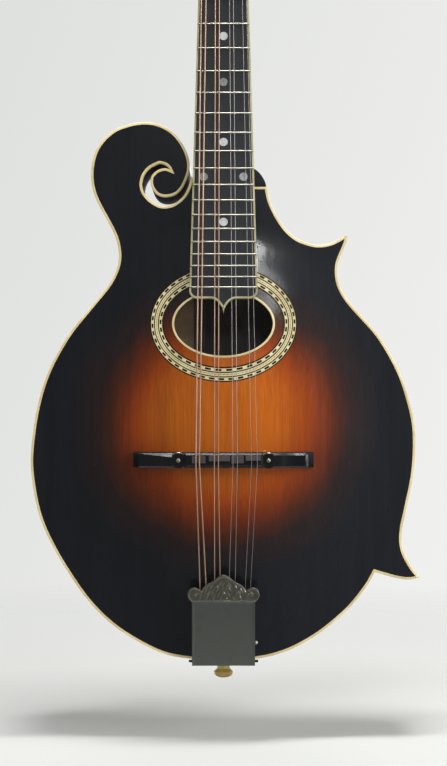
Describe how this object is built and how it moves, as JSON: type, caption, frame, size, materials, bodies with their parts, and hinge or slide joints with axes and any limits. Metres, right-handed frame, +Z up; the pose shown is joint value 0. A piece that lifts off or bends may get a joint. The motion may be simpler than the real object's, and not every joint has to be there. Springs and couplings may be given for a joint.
{
  "type": "f-style mandolin",
  "caption": "Scrolled and pointed mandolin with a carved oval-hole top, thumbwheel bridge, geared tuners and a tailpiece with a sliding cover.",
  "frame": {"origin": "centre of the end pin's outer face", "axes": "+Z up the neck from the end pin, -Y out of the carved top, +X towards the treble strings"},
  "size_m": [0.2487, 0.098, 0.6547],
  "materials": {
    "top_wood": "carved spruce with a sunburst under gloss lacquer",
    "back_wood": "figured maple with a dark sunburst under gloss lacquer",
    "rim_wood": "bent maple, dark stain under gloss lacquer",
    "inner_wood": "bare spruce and maple, sanded",
    "ivoroid": "aged grained ivoroid, polished",
    "rosette_inlay": "ivoroid and black checker lines around a cream rope band",
    "neck_wood": "maple, dark stain under gloss lacquer",
    "ebony": "oiled ebony, satin",
    "bridge_ebony": "polished ebony",
    "bone": "polished bone",
    "nickel": "aged nickel plate",
    "tailpiece_metal": "dull nickel plate, worn",
    "post_brass": "nickel plated brass, worn",
    "wound_bronze": "phosphor bronze winding",
    "plain_steel": "bright drawn steel"
  },
  "bodies": {
    "instrument": {"top_plate": "top_wood", "back_plate": "back_wood", "side_rim": "rim_wood", "top_binding": "ivoroid", "back_binding": "ivoroid", "head_block": "inner_wood", "tail_block": "inner_wood", "top_lining": "inner_wood", "back_lining": "inner_wood", "tone_brace": "inner_wood", "soundhole_binding": "ivoroid", "rosette": "rosette_inlay", "neck": "neck_wood", "headstock_veneer": "ebony", "fingerboard": "ebony", "fingerboard_binding_and_frets": "ivoroid", "nut": "bone", "tuner_plate_bass": "nickel", "tuner_plate_treble": "nickel", "bridge_base": "bridge_ebony", "bridge_post_bass": "nickel", "bridge_post_treble": "nickel", "tailpiece_base": "tailpiece_metal", "endpin": "ivoroid", "string_g_1": "wound_bronze", "string_g_2": "wound_bronze", "string_d_1": "wound_bronze", "string_d_2": "wound_bronze", "string_a_1": "plain_steel", "string_a_2": "plain_steel", "string_e_1": "plain_steel", "string_e_2": "plain_steel"},
    "bridge_saddle_body": {"bridge_saddle": "bridge_ebony"},
    "thumbwheel_bass_body": {"thumbwheel_bass": "nickel"},
    "thumbwheel_treble_body": {"thumbwheel_treble": "nickel"},
    "tailpiece_cover_body": {"tailpiece_cover": "tailpiece_metal"},
    "tuner_button_bass_1_body": {"tuner_worm_bass_1": "nickel", "tuner_button_bass_1": "ivoroid"},
    "string_post_bass_1_body": {"string_post_bass_1": "post_brass"},
    "tuner_button_bass_2_body": {"tuner_worm_bass_2": "nickel", "tuner_button_bass_2": "ivoroid"},
    "string_post_bass_2_body": {"string_post_bass_2": "post_brass"},
    "tuner_button_bass_3_body": {"tuner_worm_bass_3": "nickel", "tuner_button_bass_3": "ivoroid"},
    "string_post_bass_3_body": {"string_post_bass_3": "post_brass"},
    "tuner_button_bass_4_body": {"tuner_worm_bass_4": "nickel", "tuner_button_bass_4": "ivoroid"},
    "string_post_bass_4_body": {"string_post_bass_4": "post_brass"},
    "tuner_button_treble_1_body": {"tuner_worm_treble_1": "nickel", "tuner_button_treble_1": "ivoroid"},
    "string_post_treble_1_body": {"string_post_treble_1": "post_brass"},
    "tuner_button_treble_2_body": {"tuner_worm_treble_2": "nickel", "tuner_button_treble_2": "ivoroid"},
    "string_post_treble_2_body": {"string_post_treble_2": "post_brass"},
    "tuner_button_treble_3_body": {"tuner_worm_treble_3": "nickel", "tuner_button_treble_3": "ivoroid"},
    "string_post_treble_3_body": {"string_post_treble_3": "post_brass"},
    "tuner_button_treble_4_body": {"tuner_worm_treble_4": "nickel", "tuner_button_treble_4": "ivoroid"},
    "string_post_treble_4_body": {"string_post_treble_4": "post_brass"}
  },
  "joints": [
    {"name": "saddle_height", "type": "slide", "parent": "instrument", "child": "bridge_saddle_body", "axis": [0, -1, 0], "range_m": [-0.0015, 0]},
    {"name": "thumbwheel_bass_turn", "type": "hinge", "parent": "bridge_saddle_body", "child": "thumbwheel_bass_body", "pos_m": [-0.0282, -0.0463, 0.1434], "axis": [0, -1, 0], "range_deg": [-675, 0]},
    {"name": "thumbwheel_treble_turn", "type": "hinge", "parent": "bridge_saddle_body", "child": "thumbwheel_treble_body", "pos_m": [0.0282, -0.0463, 0.1434], "axis": [0, -1, 0], "range_deg": [-675, 0]},
    {"name": "cover_slide", "type": "slide", "parent": "instrument", "child": "tailpiece_cover_body", "axis": [0, 0.0785, -0.9969], "range_m": [0, 0.05]},
    {"name": "button_bass_1_turn", "type": "hinge", "parent": "instrument", "child": "tuner_button_bass_1_body", "pos_m": [-0.019, 0.00806, 0.52531], "axis": [1, 0, 0], "continuous": true},
    {"name": "post_bass_1_turn", "type": "hinge", "parent": "instrument", "child": "string_post_bass_1_body", "pos_m": [-0.019, 0.00621, 0.5196], "axis": [0, 0.9511, -0.309], "continuous": true},
    {"name": "button_bass_2_turn", "type": "hinge", "parent": "instrument", "child": "tuner_button_bass_2_body", "pos_m": [-0.019, 0.01517, 0.54718], "axis": [1, 0, 0], "continuous": true},
    {"name": "post_bass_2_turn", "type": "hinge", "parent": "instrument", "child": "string_post_bass_2_body", "pos_m": [-0.019, 0.01332, 0.54148], "axis": [0, 0.9511, -0.309], "continuous": true},
    {"name": "button_bass_3_turn", "type": "hinge", "parent": "instrument", "child": "tuner_button_bass_3_body", "pos_m": [-0.019, 0.02228, 0.56906], "axis": [1, 0, 0], "continuous": true},
    {"name": "post_bass_3_turn", "type": "hinge", "parent": "instrument", "child": "string_post_bass_3_body", "pos_m": [-0.019, 0.02043, 0.56335], "axis": [0, 0.9511, -0.309], "continuous": true},
    {"name": "button_bass_4_turn", "type": "hinge", "parent": "instrument", "child": "tuner_button_bass_4_body", "pos_m": [-0.019, 0.02939, 0.59093], "axis": [1, 0, 0], "continuous": true},
    {"name": "post_bass_4_turn", "type": "hinge", "parent": "instrument", "child": "string_post_bass_4_body", "pos_m": [-0.019, 0.02753, 0.58522], "axis": [0, 0.9511, -0.309], "continuous": true},
    {"name": "button_treble_1_turn", "type": "hinge", "parent": "instrument", "child": "tuner_button_treble_1_body", "pos_m": [0.019, 0.00806, 0.52531], "axis": [1, 0, 0], "continuous": true},
    {"name": "post_treble_1_turn", "type": "hinge", "parent": "instrument", "child": "string_post_treble_1_body", "pos_m": [0.019, 0.00621, 0.5196], "axis": [0, 0.9511, -0.309], "continuous": true},
    {"name": "button_treble_2_turn", "type": "hinge", "parent": "instrument", "child": "tuner_button_treble_2_body", "pos_m": [0.019, 0.01517, 0.54718], "axis": [1, 0, 0], "continuous": true},
    {"name": "post_treble_2_turn", "type": "hinge", "parent": "instrument", "child": "string_post_treble_2_body", "pos_m": [0.019, 0.01332, 0.54148], "axis": [0, 0.9511, -0.309], "continuous": true},
    {"name": "button_treble_3_turn", "type": "hinge", "parent": "instrument", "child": "tuner_button_treble_3_body", "pos_m": [0.019, 0.02228, 0.56906], "axis": [1, 0, 0], "continuous": true},
    {"name": "post_treble_3_turn", "type": "hinge", "parent": "instrument", "child": "string_post_treble_3_body", "pos_m": [0.019, 0.02043, 0.56335], "axis": [0, 0.9511, -0.309], "continuous": true},
    {"name": "button_treble_4_turn", "type": "hinge", "parent": "instrument", "child": "tuner_button_treble_4_body", "pos_m": [0.019, 0.02939, 0.59093], "axis": [1, 0, 0], "continuous": true},
    {"name": "post_treble_4_turn", "type": "hinge", "parent": "instrument", "child": "string_post_treble_4_body", "pos_m": [0.019, 0.02753, 0.58522], "axis": [0, 0.9511, -0.309], "continuous": true}
  ],
  "couplings": [
    {"joint": "thumbwheel_bass_turn", "follows": "saddle_height", "rad_per_m": 7853.9},
    {"joint": "thumbwheel_treble_turn", "follows": "saddle_height", "rad_per_m": 7853.9},
    {"joint": "button_bass_1_turn", "follows": "post_bass_1_turn", "ratio": -14},
    {"joint": "button_bass_2_turn", "follows": "post_bass_2_turn", "ratio": -14},
    {"joint": "button_bass_3_turn", "follows": "post_bass_3_turn", "ratio": -14},
    {"joint": "button_bass_4_turn", "follows": "post_bass_4_turn", "ratio": -14},
    {"joint": "button_treble_1_turn", "follows": "post_treble_1_turn", "ratio": -14},
    {"joint": "button_treble_2_turn", "follows": "post_treble_2_turn", "ratio": -14},
    {"joint": "button_treble_3_turn", "follows": "post_treble_3_turn", "ratio": -14},
    {"joint": "button_treble_4_turn", "follows": "post_treble_4_turn", "ratio": -14}
  ]
}
